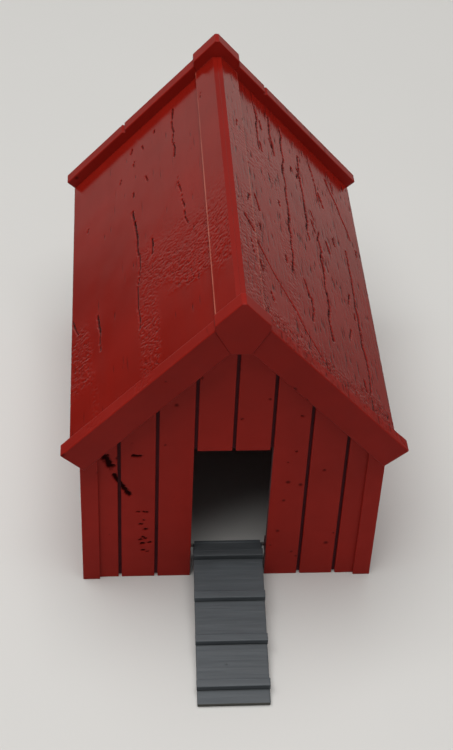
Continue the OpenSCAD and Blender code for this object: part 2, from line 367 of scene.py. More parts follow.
def rounded_outline(points, radii, steps, arc=4):
    """Closed outline through points (anticlockwise), each corner rounded to its radius.

    An arc touches both edges of its corner at radius times the tangent of half the turn. The straight
    stretch after each corner is divided into equal steps of about its given length, with one more place a
    guard's length from each arc, which keeps the shading flat up to it. Returns the places and their
    outward unit normals.
    """
    points = np.array(points, float)
    count = len(points)
    along = np.roll(points, -1, 0) - points
    length = np.hypot(along[:, 0], along[:, 1])
    along = along / length[:, None]
    out = np.stack([along[:, 1], -along[:, 0]], 1)
    radii = np.broadcast_to(radii, count)
    steps = np.broadcast_to(steps, count)
    turn = np.arctan2(
        np.roll(along, 1, 0)[:, 0] * along[:, 1] - np.roll(along, 1, 0)[:, 1] * along[:, 0],
        (np.roll(along, 1, 0) * along).sum(1),
    )
    trim = np.where(turn > 0, radii * np.tan(np.abs(turn) / 2), 0.0)
    places, normals = [], []
    for k in range(count):
        before, after = out[k - 1], out[k]
        if trim[k] > 0:
            start = math.atan2(before[1], before[0])
            angles = start + turn[k] * np.linspace(0, 1, arc + 1)
            ring = np.stack([np.cos(angles), np.sin(angles)], 1)
            middle = points[k] - along[k - 1] * trim[k] - before * radii[k]
            places.append(middle + ring * radii[k])
            normals.append(ring)
        else:
            both = before + after
            places.append(points[k][None])
            normals.append((both / np.hypot(*both))[None])
        nxt = (k + 1) % count
        run = length[k] - trim[k] - trim[nxt]
        parts = max(1, int(round(run / steps[k])))
        t = np.arange(1, parts) / parts
        if run > 0.5:
            guard = GUARD / run
            t = np.concatenate([[guard], t, [1.0 - guard]])
        places.append(points[k] + along[k] * (trim[k] + run * t)[:, None])
        normals.append(np.repeat(after[None], len(t), 0))
    return np.concatenate(places), np.concatenate(normals)


def carried(name, outline, low, high, axes, origin=(0, 0, 0), round_end=0.15, step=0.3, relief=None,
            extra_rows=()):
    """Solid made by carrying an outline in (a, b) along a third line, as a mesh object.

    low and high give how far along the line each place of the outline starts and ends, so an end may be
    slanted. Near each end the outline shrinks along its normals by a quarter circle of radius round_end,
    which rounds the end's edge. axes holds the directions of a, b and the line as rows. relief takes the
    three coordinates in the frame and the surface's direction, and gives the depth to push each place
    inwards and what the paint reads.
    """
    places, normals = outline
    count = len(places)
    first, last = low(*places.T), high(*places.T)
    quarter = np.radians([0.0, 30.0, 60.0])
    body = np.linspace(0.0, 1.0, max(2, int(round(float(np.mean(last - first)) / step)) + 1))
    if len(extra_rows):
        body = np.unique(np.concatenate([body, np.asarray(extra_rows)]))
    inset = round_end * (1 - np.sin(quarter))
    shrink = np.concatenate([inset, 0 * body, inset[::-1]])
    tilt = np.concatenate([-np.cos(quarter), 0 * body, np.cos(quarter[::-1])])
    keep = np.sqrt(1 - tilt**2)
    rows = len(shrink)
    a = places[None, :, 0] - normals[None, :, 0] * shrink[:, None]
    b = places[None, :, 1] - normals[None, :, 1] * shrink[:, None]
    start, stop = low(a, b), high(a, b)
    edge = round_end * (1 - np.cos(quarter))
    w = np.empty((rows, count))
    w[:3] = start[:3] + edge[:, None]
    w[3:-3] = (start + round_end)[3:-3] + (stop - start - 2 * round_end)[3:-3] * body[:, None]
    w[-3:] = stop[-3:] - edge[::-1, None]
    axes = np.array(axes, float)
    spots = a[..., None] * axes[0] + b[..., None] * axes[1] + w[..., None] * axes[2] + np.array(origin, float)
    face = (
        (normals[None, :, 0] * keep[:, None])[..., None] * axes[0]
        + (normals[None, :, 1] * keep[:, None])[..., None] * axes[1]
        + np.repeat(tilt[:, None], count, 1)[..., None] * axes[2]
    )
    spots, face = spots.reshape(-1, 3), face.reshape(-1, 3)
    bent = np.hypot(*(np.roll(normals, -1, 0) - np.roll(normals, 1, 0)).T) > 0.05
    # Edges that the paint lightens: as wear on the red pieces, as a painted highlight on the ramp.
    wear_and_highlight_edges = np.maximum(np.repeat(bent[None], rows, 0), np.abs(tilt)[:, None] > 0.05).reshape(-1).astype(float)
    marks = {"crack": np.zeros(len(spots)), "crest": np.zeros(len(spots)), "edge": wear_and_highlight_edges, "painted_highlight_and_toe_tint": 0 * wear_and_highlight_edges}
    if relief:
        found = relief(spots, face)
        spots = spots - face * np.maximum(found.pop("depth"), 0.0)[:, None]
        marks.update(found)
    k = np.arange(count)
    after = (k + 1) % count
    j = np.arange(rows - 1)[:, None] * count
    quads = np.stack([j + k, j + after, j + count + after, j + count + k], 2).reshape(-1, 4)
    caps = [k[::-1], (rows - 1) * count + k]
    if np.linalg.det(axes) < 0:
        quads, caps = quads[:, ::-1], [cap[::-1] for cap in caps]
    return mesh_object(name, spots, quads, caps, marks)


def turned(name, profile, centre, sides=32, ring=False):
    """Rod or ring turned about a line along X: an outline of (x, radius) swept round in equal steps.

    A rod's outline runs from its low end to its high end, and two flat caps close it. A ring's is closed,
    and goes along its inner radius first.
    """
    x, r = np.array(profile, float).T
    angle = np.arange(sides) * 2 * math.pi / sides
    spots = np.stack(
        [
            np.repeat(x[None], sides, 0) + centre[0],
            r[None] * np.cos(angle)[:, None] + centre[1],
            r[None] * np.sin(angle)[:, None] + centre[2],
        ],
        2,
    ).reshape(-1, 3)
    count = len(x)
    k = np.arange(count if ring else count - 1)
    after = (k + 1) % count
    j = np.arange(sides)[:, None] * count
    beside = np.roll(j, -1, 0)
    quads = np.stack([j + k, beside + k, beside + after, j + after], 2)
    around = np.arange(sides) * count
    caps = [] if ring else [around[::-1], around + count - 1]
    zero = np.zeros(len(spots))
    marks = {"crack": zero, "crest": zero, "edge": zero, "painted_highlight_and_toe_tint": zero}
    return mesh_object(name, spots, quads.reshape(-1, 4), caps, marks)


def mesh_object(name, spots, quads, caps, marks):
    """Mesh object from places in millimetres, four-sided faces and flat end caps, with its attributes."""
    mesh = bpy.data.meshes.new(name)
    loops = np.concatenate([quads.reshape(-1)] + list(caps)).astype(np.int32)
    sizes = np.concatenate([np.full(len(quads), 4), [len(c) for c in caps]]).astype(np.int32)
    mesh.vertices.add(len(spots))
    mesh.vertices.foreach_set("co", (spots * MM).reshape(-1).astype(np.float32))
    mesh.loops.add(len(loops))
    mesh.loops.foreach_set("vertex_index", loops)
    mesh.polygons.add(len(sizes))
    mesh.polygons.foreach_set("loop_start", np.concatenate([[0], np.cumsum(sizes)[:-1]]).astype(np.int32))
    mesh.polygons.foreach_set("use_smooth", np.arange(len(sizes)) < len(quads))
    mesh.update(calc_edges=True)
    for key, values in marks.items():
        layer = mesh.attributes.new(key, "FLOAT", "POINT")
        layer.data.foreach_set("value", np.asarray(values, np.float32))
    piece = bpy.data.objects.new(name, mesh)
    bpy.context.scene.collection.objects.link(piece)
    return piece


def fit(piece, body, slot, node, paint=None):
    """Gives a piece its slot's paint, or another, and hangs it on its body in place of its CAD node."""
    piece.data.materials.append(palette()[paint or slot])
    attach(piece, body)
    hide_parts(node)


# ---------------------------------------------------------------- paint


class Signal:
    """A node's output that can be added, scaled and compared with numbers or other outputs."""

    def __init__(self, paint, socket):
        self.paint = paint
        self.socket = socket

    def math(self, operation, *values):
        made = self.paint.node("ShaderNodeMath", {"operation": operation}, dict(enumerate((self, *values))))
        return Signal(self.paint, made.outputs[0])

    def __add__(self, other):
        return self.math("ADD", other)

    def __sub__(self, other):
        return self.math("SUBTRACT", other)

    def __mul__(self, other):
        return self.math("MULTIPLY", other)

    def __rsub__(self, other):
        made = self.paint.node("ShaderNodeMath", {"operation": "SUBTRACT"}, {0: other, 1: self})
        return Signal(self.paint, made.outputs[0])

    __radd__ = __add__
    __rmul__ = __mul__

    def between(self, low, high):
        """0 at low, 1 at high, held outside."""
        limits = {0: self, 1: low, 2: high, 3: 0.0, 4: 1.0}
        return self.paint.output("ShaderNodeMapRange", 0, {"clamp": True}, limits)


class Paint:
    """A material under construction."""

    def __init__(self, name):
        self.material = bpy.data.materials.new(name)
        self.material.use_nodes = True
        self.nodes = self.material.node_tree.nodes
        self.links = self.material.node_tree.links
        self.nodes.clear()
        self.place = self.output("ShaderNodeTexCoord", "Object")

    def node(self, kind, settings=None, inputs=None):
        """Adds a node, sets its settings, then gives each named input its number, colour or link."""
        made = self.nodes.new(kind)
        for key, value in (settings or {}).items():
            setattr(made, key, value)
        for key, value in (inputs or {}).items():
            if isinstance(value, Signal):
                self.links.new(value.socket, made.inputs[key])
            else:
                made.inputs[key].default_value = value
        return made

    def output(self, kind, name, settings=None, inputs=None):
        """Adds a node and gives one of its outputs as a signal."""
        return Signal(self, self.node(kind, settings, inputs).outputs[name])

    def noise(self, scale, detail=2.0, stretch=(1, 1, 1)):
        """Cloudy field about 0.5, with scale in cells to the metre, drawn out by stretch."""
        spread = self.output("ShaderNodeMapping", "Vector", {}, {"Vector": self.place, "Scale": stretch})
        return self.output("ShaderNodeTexNoise", 0, {}, {"Vector": spread, "Scale": scale, "Detail": detail})

    def attribute(self, name):
        """The value that the mesh holds under that name."""
        return self.output("ShaderNodeAttribute", "Fac", {"attribute_name": name})

    def mix(self, share, first, second):
        """Colour that goes from the first to the second as share goes from 0 to 1."""
        made = self.node("ShaderNodeMix", {"data_type": "RGBA"}, {0: share, 6: first, 7: second})
        return Signal(self, made.outputs[2])

    def finish(self, colour, roughness, height=None, bump=0.0, **constants):
        """Closes the material: what varies is linked, and what is the same all over is set on the shader."""
        inputs = {"Base Color": colour, "Roughness": roughness}
        inputs.update({key.replace("_", " "): value for key, value in constants.items()})
        if height is not None:
            inputs["Normal"] = self.output(
                "ShaderNodeBump", "Normal", {}, {"Height": height, "Strength": 1.0, "Distance": bump * MM}
            )
        shader = self.output("ShaderNodeBsdfPrincipled", "BSDF", {}, inputs)
        self.node("ShaderNodeOutputMaterial", {}, {"Surface": shader})
        return self.material


def shade(colour, factor):
    """A colour made lighter or darker, with its alpha kept."""
    return tuple(min(1.0, c * factor) for c in colour[:3]) + (1.0,)


# Painted highlight along the ridge boards' outer edges, and the brownish olive tint of the ramp's toe end
RIDGE_HIGHLIGHT_RED = (0.46, 0.12, 0.08, 1.0)
TOE_OLIVE = (0.085, 0.078, 0.058, 1.0)


def red_paint(name, base, chip, gloss, specular):
    """Sprayed red paint on cast plastic: cloudy tone, a painted highlight on the crests, edges lightened as
    wear, a pale painted highlight line along the ridge boards' edges, and dark, slightly metallic cracks and
    chips, whose colour also darkens the wrinkles' hollows as painted shade.
    """
    paint = Paint(name)
    crack, crest, edge = (paint.attribute(key) for key in ("crack", "crest", "edge"))
    cloud = paint.noise(45.0, 4.0).between(0.3, 0.7)
    streak = paint.noise(260.0, 3.0, (1.0, 0.12, 1.0)).between(0.35, 0.75)
    dust = paint.noise(2600.0, 2.0)
    tone = paint.mix(cloud, shade(base, 0.9), shade(base, 1.1))
    tone = paint.mix(streak * 0.22, tone, shade(base, 0.72))
    # Painted highlight on the crests of the wrinkles, and edges lightened as wear.
    tone = paint.mix(crest * 0.55 + edge * 0.15, tone, shade(base, 1.3))
    # Painted highlight: a pale line along the ridge boards' outer edges.
    tone = paint.mix(paint.attribute("painted_highlight_and_toe_tint"), tone, RIDGE_HIGHLIGHT_RED)
    # Cracks, chips and pits take the dark chip colour; the hollows between the wrinkles take it too, as
    # painted shade.
    tone = paint.mix(crack.between(0.08, 0.7), tone, chip)
    roughness = gloss + 0.06 * cloud + 0.04 * streak + 0.14 * crack.between(0.1, 0.7)
    return paint.finish(
        tone, roughness, dust * 0.5 + streak * 0.5, 0.012, Specular_IOR_Level=specular,
        Metallic=crack.between(0.1, 0.8) * 0.9,
    )


def sheet_paint(base):
    """Dark, dull red of the sheets behind the boards, with darker, rougher patches."""
    paint = Paint("coop_sheet_red")
    cloud = paint.noise(60.0, 4.0).between(0.3, 0.7)
    grime = paint.noise(420.0, 3.0).between(0.45, 0.8)
    tone = paint.mix(grime * 0.5, paint.mix(cloud, shade(base, 0.8), base), shade(base, 0.45))
    return paint.finish(tone, 0.62 + 0.15 * grime, grime, 0.03, Specular_IOR_Level=0.3)


def ramp_paint(base):
    """Grey plastic of the ramp: fine lines across it, edges and the crests of the lines lightened as a
    painted highlight, a dark pinhole, painted shade at the cleats' feet and towards the hinge, and a brownish
    olive toe.
    """
    paint = Paint("coop_ramp_grey")
    crack, crest, edge = (paint.attribute(key) for key in ("crack", "crest", "edge"))
    cloud = paint.noise(90.0, 4.0).between(0.3, 0.7)
    lines = paint.noise(900.0, 3.0, (0.06, 1.0, 1.0)).between(0.35, 0.75)
    tone = paint.mix(cloud, shade(base, 0.88), shade(base, 1.08))
    tone = paint.mix(lines * 0.4, tone, shade(base, 0.68))
    # Painted highlight on the edges and on the crests of the lines.
    tone = paint.mix(crest * 0.3 + edge * 0.3, tone, shade(base, 1.4))
    # Brownish olive tint on the toe's end face.
    tone = paint.mix(paint.attribute("painted_highlight_and_toe_tint") * 0.7, tone, TOE_OLIVE)
    # Painted shade at the cleats' feet and towards the hinge, with the dark pinhole, from the crack
    # attribute.
    tone = paint.mix(crack, tone, shade(base, 0.16))
    roughness = 0.46 + 0.12 * cloud + 0.1 * lines
    return paint.finish(tone, roughness, lines, 0.05, Specular_IOR_Level=0.4)


def pin_steel(base):
    """Bright steel of the hinge rod, drawn lengthways."""
    paint = Paint("coop_pin_steel")
    drawn_lines = paint.noise(3000.0, 2.0, (0.03, 1.0, 1.0)).between(0.3, 0.7)
    tone = paint.mix(drawn_lines, shade(base, 0.8), base)
    return paint.finish(tone, 0.28 + 0.15 * drawn_lines, drawn_lines, 0.01, Metallic=1.0)


# Height of the lamp in metres, and what the table and the wall show far from it
LAMP_HEIGHT = 1.3
FAR_GLOW = (0.56, 0.555, 0.535, 1.0)
BLACK = (0.0, 0.0, 0.0, 1.0)


def floor_paint(base):
    """Pale matt table top, barely mottled. Its own faint glow takes over where the lamp's light falls away.

    The lamp gives (h2 / (h2 + r2)) squared of its light at a distance r, h being its height, and the glow
    gives the rest, from half a metre out.
    """
    paint = Paint("stage_floor")
    cloud = paint.noise(9.0, 3.0).between(0.3, 0.7)
    away = paint.output("ShaderNodeVectorMath", "Value", {"operation": "LENGTH"}, {0: paint.place})
    lit = (away * away * (1.0 / LAMP_HEIGHT**2) + 1.0).math("POWER", -2.0)
    glow = (1.0 - lit) * away.between(0.45, 1.3)
    return paint.finish(
        paint.mix(cloud, shade(base, 0.985), base), 0.55 + 0.05 * cloud, Specular_IOR_Level=0.3,
        Emission_Color=paint.mix(glow, BLACK, FAR_GLOW), Emission_Strength=1.0,
    )


# ---------------------------------------------------------------- sizes and colours


def extent(name, text, value, least, most):
    """Length property in metres, with its label, default and range."""
    return FloatProperty(
        name=name, description=text, default=value, min=least, max=most, subtype="DISTANCE", unit="LENGTH"
    )


def tint(name, text, value):
    """Colour property with its label and default."""
    return FloatVectorProperty(
        name=name, description=text, default=(*value, 1.0), size=4, min=0, max=1, subtype="COLOR"
    )


class CoopShape(PropertyGroup):
    """Sizes of the details that the paint and the casting add."""

    edge: extent("Board edge", "Radius of the long edges of the wall boards", 0.00018, 0.00005, 0.0004)
    roof_edge: extent("Roof edge", "Radius of the edges of the roof and rake boards", 0.0003, 0.00005, 0.0006)
    fine: extent("Fine grid", "Grid spacing of the roof and the front boards", 0.00027, 0.00026, 0.001)
    coarse: extent("Plain grid", "Grid spacing of the side and rear boards", 0.0005, 0.0003, 0.002)
    relief: FloatProperty(
        name="Relief", description="Strength of the wrinkles and cracks in the paint", default=1.0,
        min=0.0, max=1.5, subtype="FACTOR",
    )


class CoopPaint(PropertyGroup):
    """Colours of the paints."""

    boards: tint("Boards", "Red of the wall boards", (0.305, 0.0145, 0.009))
    roof: tint("Roof", "Red of the roof and ridge", (0.218, 0.008, 0.0042))
    trim: tint("Trim", "Red of the rakes, plates and corner trims", (0.24, 0.0095, 0.0055))
    sheet: tint("Sheets", "Dark red of the sheets behind the boards", (0.105, 0.009, 0.016))
    chip: tint("Chips", "Dark red at the bottom of cracks and chips", (0.05, 0.004, 0.004))
    ramp: tint("Ramp", "Grey of the ramp", (0.066, 0.075, 0.083))
    steel: tint("Pin", "Steel of the hinge rod", (0.55, 0.54, 0.52))


class CoopStage(PropertyGroup):
    """Table, light and camera."""

    table: tint("Table", "Colour of the table top", (0.63, 0.622, 0.6))
    sky: FloatProperty(
        name="Room light", description="Strength of the even light of the room", default=0.17, min=0.0,
        subtype="FACTOR",
    )
    lamp: FloatProperty(
        name="Lamp", description="Power of the wide lamp over the table", default=20.5, min=0.0,
        subtype="POWER", unit="POWER",
    )
    lens: FloatProperty(
        name="Lens", description="Focal length on a 36 mm frame", default=77.1, min=20.0,
        subtype="DISTANCE_CAMERA",
    )


FINISHES = {}


def palette():
    """Each slot's finished material, made once."""
    if not FINISHES:
        paint = bpy.context.scene.coop_paint
        chip = tuple(paint.chip)
        FINISHES["red_boards"] = red_paint("coop_board_red", paint.boards, chip, 0.45, 0.12)
        FINISHES["red_roof"] = red_paint("coop_roof_red", paint.roof, chip, 0.14, 0.5)
        FINISHES["red_trim"] = red_paint("coop_trim_red", paint.trim, chip, 0.3, 0.16)
        FINISHES["dark_red_sheet"] = sheet_paint(paint.sheet)
        FINISHES["grey_ramp"] = ramp_paint(paint.ramp)
        FINISHES["steel_pin"] = pin_steel(paint.steel)
    return FINISHES


def scaled(found, strength):
    """A relief with its depth made stronger or weaker."""
    found["depth"] = found["depth"] * strength
    return found


# ---------------------------------------------------------------- pieces

X, Y, Z = np.eye(3)


def wall_board(node, across, out, seed, step, marks=()):
    """Upright board: its plan outline is carried up from its foot to the underside of the roof.

    across is the axis along the wall and out the axis through it, as 0 for X or 1 for Y. The top follows
    the straight line through the board's two highest corners.
    """
    shape = bpy.context.scene.coop_shape
    low, high = span(node)
    tops = corners(node)
    tops = tops[tops[:, 2] > low[2] + 1.0]
    flat = tops[:, 0]
    rise, base = np.polyfit(flat, tops[:, 2], 1) if np.ptp(flat) > 0.1 else (0.0, tops[0, 2])
    box = [(low[0], low[1]), (high[0], low[1]), (high[0], high[1]), (low[0], high[1])]
    sizes = [step if (k % 2 == 0) == (across == 0) else 0.3 for k in range(4)]
    outline = rounded_outline(box, shape.edge / MM, sizes, 3)

    def relief(spots, face):
        found = wall_relief(spots[:, across], spots[:, 2], seed, marks)
        facing = np.abs(face[:, out])
        found["depth"] = found["depth"] * facing
        return scaled(found, shape.relief)

    return carried(
        f"painted_{node}", outline, lambda a, b: low[2] + 0 * a, lambda a, b: base + rise * a, (X, Y, Z),
        round_end=0.12, step=step, relief=relief,
    )


class COOP_OT_sheets(Operator):
    """Paints the sheets behind the boards and the hinge blocks"""

    bl_idname = "coop.sheets"
    bl_label = "Wall sheets"

    def execute(self, context):
        material = palette()["dark_red_sheet"]
        for node in ("front_wall", "rear_wall", "left_wall", "right_wall", "hinge_blocks"):
            for slot in frame["nodes"][node].material_slots:
                slot.material = material
        return {"FINISHED"}


class COOP_OT_gable_boards(Operator):
    """Adds the upright boards of both gable walls, chipped at the front"""

    bl_idname = "coop.gable_boards"
    bl_label = "Gable boards"

    def execute(self, context):
        shape = context.scene.coop_shape
        for k in range(1, 9):
            for wall, step, marks in (("front", shape.fine, FRONT_WALL_MARKS), ("rear", shape.coarse, ())):
                node = f"{wall}_board_{k}"
                piece = wall_board(node, 0, 1, 100 + 10 * k + len(wall), step / MM, marks)
                fit(piece, "house", "red_boards", node)
        return {"FINISHED"}


class COOP_OT_side_boards(Operator):
    """Adds the upright boards of both side walls"""

    bl_idname = "coop.side_boards"
    bl_label = "Side boards"

    def execute(self, context):
        shape = context.scene.coop_shape
        for k in range(1, 12):
            for wall in ("left", "right"):
                node = f"{wall}_board_{k}"
                piece = wall_board(node, 1, 0, 300 + 10 * k + len(wall), shape.coarse / MM)
                fit(piece, "house", "red_boards", node)
        return {"FINISHED"}


# Thickness of the corner trims
TRIM_THICK = 0.7


class COOP_OT_corner_trims(Operator):
    """Adds the four angle strips over the corners of the walls"""

    bl_idname = "coop.corner_trims"
    bl_label = "Corner trims"

    def execute(self, context):
        """Each plan outline is an L, carried up to the underside of the roof."""
        shape = context.scene.coop_shape
        for end, sy in (("front", -1), ("rear", 1)):
            for side, sx in (("left", -1), ("right", 1)):
                node = f"corner_trim_{end}_{side}"
                low, high = span(node)
                ox = low[0] if sx < 0 else high[0]
                ix = high[0] if sx < 0 else low[0]
                oy = low[1] if sy < 0 else high[1]
                iy = high[1] if sy < 0 else low[1]
                bx, by = ox - sx * TRIM_THICK, oy - sy * TRIM_THICK
                ell = [(ox, oy), (ix, oy), (ix, by), (bx, by), (bx, iy), (ox, iy)]
                if sx * sy < 0:
                    ell = ell[::-1]
                outline = rounded_outline(ell, 0.2, 0.4, 3)
                tops = corners(node)
                tops = tops[tops[:, 2] > 10.0]
                rise, base = np.polyfit(tops[:, 0], tops[:, 2], 1)
                seed = 500 + 7 * sx + 3 * sy

                def relief(spots, face, seed=seed):
                    along = np.where(np.abs(face[:, 1]) > 0.7, spots[:, 0], spots[:, 1])
                    return scaled(plain_relief(along, spots[:, 2], seed), shape.relief)

                piece = carried(
                    f"painted_{node}", outline, lambda a, b: 0 * a, lambda a, b: base + rise * a, (X, Y, Z),
                    round_end=0.1, step=0.4, relief=relief,
                )
                fit(piece, "house", "red_trim", node, "red_boards")
        return {"FINISHED"}


def slope_axes(side):
    """Directions along the house, square to the slope and down the slope, for the left (-1) or right (1)."""
    down = np.array([side * DOWN[0], 0.0, DOWN[1]])
    out = np.array([side * UP[0], 0.0, UP[1]])
    return Y, out, down


def slope_place(spots, side):
    """Distance along the house from the front of the roof, and down the slope from the ridge."""
    down = side * spots[:, 0] * DOWN[0] + (spots[:, 2] - ROOF_PEAK) * DOWN[1]
    return spots[:, 1] - FRONT_Y, down


class COOP_OT_roof_panels(Operator):
    """Adds the two roof panels with their wrinkled and cracked paint"""

    bl_idname = "coop.roof_panels"
    bl_label = "Roof panels"

    def execute(self, context):
        """Each outline, length by thickness, is carried from the ridge mitre down to the eave."""
        shape = context.scene.coop_shape
        fine = shape.fine / MM
        for name, side in (("left", -1), ("right", 1)):
            node = f"roof_{name}"
            along, out, down = slope_axes(side)
            points = corners(node) - np.array([0, 0, ROOF_PEAK])
            height, reach = points @ out, points @ down
            bottom, top, eave = height.min(), height.max(), reach.max()
            box = [(FRONT_Y, bottom), (REAR_Y, bottom), (REAR_Y, top), (FRONT_Y, top)]
            outline = rounded_outline(box, shape.roof_edge / MM, [4.0, 0.7, fine, 0.7], 3)
            upper = -math.tan(ROOF_ANGLE)

            def relief(spots, face, side=side, out=out):
                y, d = slope_place(spots, side)
                found = roof_relief(side, y, d)
                up = smooth(0.2, 0.9, face @ out)
                found = {key: value * up for key, value in found.items()}
                return scaled(found, shape.relief)

            piece = carried(
                f"painted_{node}", outline, lambda a, b: upper * b, lambda a, b: eave + 0 * a,
                (along, out, down), (0, 0, ROOF_PEAK), round_end=0.28, step=fine, relief=relief,
            )
            fit(piece, "house", "red_roof", node)
        return {"FINISHED"}


class COOP_OT_ridge_boards(Operator):
    """Adds the two ridge boards, with the narrow flat that they share"""

    bl_idname = "coop.ridge_boards"
    bl_label = "Ridge boards"

    def execute(self, context):
        """Each cross-section, six corners read from the frame, is carried from front to rear."""
        shape = context.scene.coop_shape
        for name, side in (("left", -1), ("right", 1)):
            node = f"ridge_board_{name}"
            ends = corners(node)
            face = ends[np.abs(ends[:, 1] - FRONT_Y) < 0.01][:, [0, 2]]
            middle = face.mean(0)
            turn = np.arctan2(*(face - middle).T[::-1])
            face = face[np.argsort(turn)]
            reach = np.abs(face[:, 0])
            radii = np.where(reach < 0.1, 0.0, np.where(reach > reach.max() - 0.1, 0.28, 0.12))
            outline = rounded_outline(face, radii, 0.3, 3)
            out = slope_axes(side)[1]

            def relief(spots, face, side=side, out=out):
                y, d = slope_place(spots, side)
                found = roof_relief(side, y, d)
                tilt = face @ out
                up = smooth(0.8, 0.97, tilt) * 0.8
                found = {key: value * up for key, value in found.items()}
                found["edge"] = np.zeros(len(y))
                # Painted highlight along the boards' outer edge, stronger on the left board, broken up and
                # fading towards the rear.
                lip = smooth(0.1, 0.4, tilt) * smooth(0.5, 0.25, d.max() - d)
                broken = np.clip(0.8 + 0.35 * rolling(y / 6.0, d, 81) - 0.5 * smooth(40.0, 96.0, y), 0.0, 1.0)
                found["painted_highlight_and_toe_tint"] = np.clip((1.0 if side < 0 else 0.6) * lip * broken, 0, 1)
                return scaled(found, shape.relief)

            piece = carried(
                f"painted_{node}", outline, lambda a, b: -REAR_Y + 0 * a, lambda a, b: -FRONT_Y + 0 * a,
                (X, Z, -Y), round_end=0.05, step=0.3, relief=relief,
            )
            fit(piece, "house", "red_roof", node)
        return {"FINISHED"}


# Saw nick in the top edge of a rear rake board, the board's height that is pressed down to make it, and the
# share of the board's length in which each side of the nick falls, on either side of its middle
NICK_WIDTH = 0.7
NICK_DEPTH = 0.6
NICK_BAND = 2.0
NICK_WALL = 0.0004


class COOP_OT_rake_boards(Operator):
    """Adds the four rake boards, the rear ones with a saw nick in the top edge"""

    bl_idname = "coop.rake_boards"
    bl_label = "Rake boards"

    def execute(self, context):
        """Each outline, thickness by height, is carried down the slope from the slanted joint at the peak."""
        shape = context.scene.coop_shape
        step = 0.3
        for end in ("front", "rear"):
            for name, side in (("left", -1), ("right", 1)):
                node = f"rake_{end}_{name}"
                along, out, down = slope_axes(side)
                points = corners(node)
                near, far = points[:, 1].min(), points[:, 1].max()
                local = points - np.array([0, 0, ROOF_PEAK])
                height, reach = local @ out, local @ down
                bottom, top, eave = height.min(), height.max(), reach.max()
                upper_bottom = reach[np.abs(height - bottom) < 0.01].min()
                upper_top = reach[np.abs(height - top) < 0.01].min()
                lean = (upper_top - upper_bottom) / (top - bottom)
                box = [(near, bottom), (far, bottom), (far, top), (near, top)]
                outline = rounded_outline(box, shape.roof_edge / MM, [0.4, step, step, step], 3)
                inner = np.unique(np.round(reach[(height > bottom + 0.1) & (height < top - 0.1)], 2))
                nick = float(inner.mean()) if len(inner) else None
                length = eave - (upper_bottom + upper_top) / 2
                extra = []
                if nick is not None:
                    share = (nick - (upper_bottom + upper_top) / 2) / length
                    sides = share + NICK_WIDTH / 2 / length * np.array([-1.0, 1.0])
                    extra = np.concatenate([sides - NICK_WALL, sides + NICK_WALL])

                def relief(spots, face, side=side, out=out, seed=600 + 10 * side + len(end)):
                    y, d = slope_place(spots, side)
                    up = smooth(0.3, 0.9, face @ out)
                    top_face = roof_relief(side, np.clip(y, -3.8, 1.0) if end == "front" else y, d)
                    marks = FRONT_WALL_MARKS if end == "front" else ()
                    wall = wall_relief(spots[:, 0], spots[:, 2], seed, marks)
                    front = np.abs(face[:, 1]) * (1 - up)
                    found = {key: top_face[key] * up * 0.8 + wall[key] * front for key in top_face}
                    return scaled(found, shape.relief)

                piece = carried(
                    f"painted_{node}", outline, lambda a, b: upper_bottom + lean * (b - bottom),
                    lambda a, b: eave + 0 * a, (along, out, down), (0, 0, ROOF_PEAK),
                    round_end=0.22, step=step, relief=relief, extra_rows=extra,
                )
                if nick is not None:
                    self.cut_nick(piece, out, down, top, nick)
                fit(piece, "house", "red_trim", node)
        return {"FINISHED"}

    @staticmethod
    def cut_nick(piece, out, down, top, nick):
        """Lowers the top edge by the nick's depth between its two sides: the upper part of the board is
        pressed together evenly, from nothing at its foot to the full depth at the top.
        """
        data = piece.data
        flat = np.empty(len(data.vertices) * 3)
        data.vertices.foreach_get("co", flat)
        spots = flat.reshape(-1, 3) / MM
        local = spots - np.array([0, 0, ROOF_PEAK])
        height, reach = local @ out, local @ down
        inside = np.abs(reach - nick) < NICK_WIDTH / 2
        press = np.clip((height - (top - NICK_BAND)) / NICK_BAND, 0, 1) * inside * NICK_DEPTH
        spots = spots - press[:, None] * out
        data.vertices.foreach_set("co", (spots * MM).reshape(-1))
        data.update()


# A height inside the plates' outline, from which all its corners can be seen
PLATE_SIGHT = 86.0


class COOP_OT_peak_plates(Operator):
    """Adds the plates that close the joint of the rake boards at each peak"""

    bl_idname = "coop.peak_plates"
    bl_label = "Peak plates"

    def execute(self, context):
        """Each outline, eight corners read from the frame, is carried through the thickness."""
        shape = context.scene.coop_shape
        for end in ("front", "rear"):
            node = f"peak_plate_{end}"
            points = corners(node)
            near, far = points[:, 1].min(), points[:, 1].max()
            face = points[np.abs(points[:, 1] - near) < 0.01][:, [0, 2]]
            middle = np.array([0.0, PLATE_SIGHT])
            face = face[np.argsort(np.arctan2(*(face - middle).T[::-1]))]
            outline = rounded_outline(face, 0.25, 0.3, 3)

            def relief(spots, face, seed=700 + len(end)):
                return scaled(plain_relief(spots[:, 0], spots[:, 2], seed), shape.relief * 0.8)

            piece = carried(
                f"painted_{node}", outline, lambda a, b: -far + 0 * a, lambda a, b: -near + 0 * a, (X, Z, -Y),
                round_end=0.18, step=0.35, relief=relief,
            )
            fit(piece, "house", "red_trim", node)
        return {"FINISHED"}


# Ramp: the middle of the hinge, and sizes along, across and above the line from the hinge to the toe
HINGE = sum(span("hinge_rod")) / 2
RAMP_LENGTH = 45.0
TOE_DRIFT = -0.7
DECK_HALF = 8.7
DECK_BOTTOM = -0.2
BARREL_HALF = 8.35
BARREL_RADIUS = 1.0
BORE_RADIUS = 0.55
ROD_RADIUS = 0.5
CLEATS = 4
CLEAT_START = 3.6
CLEAT_PITCH = 12.1
CLEAT_WIDTH = 2.5
CLEAT_HALF = 8.8
CLEAT_TOP = 2.3
CLEAT_SLANT = 0.35
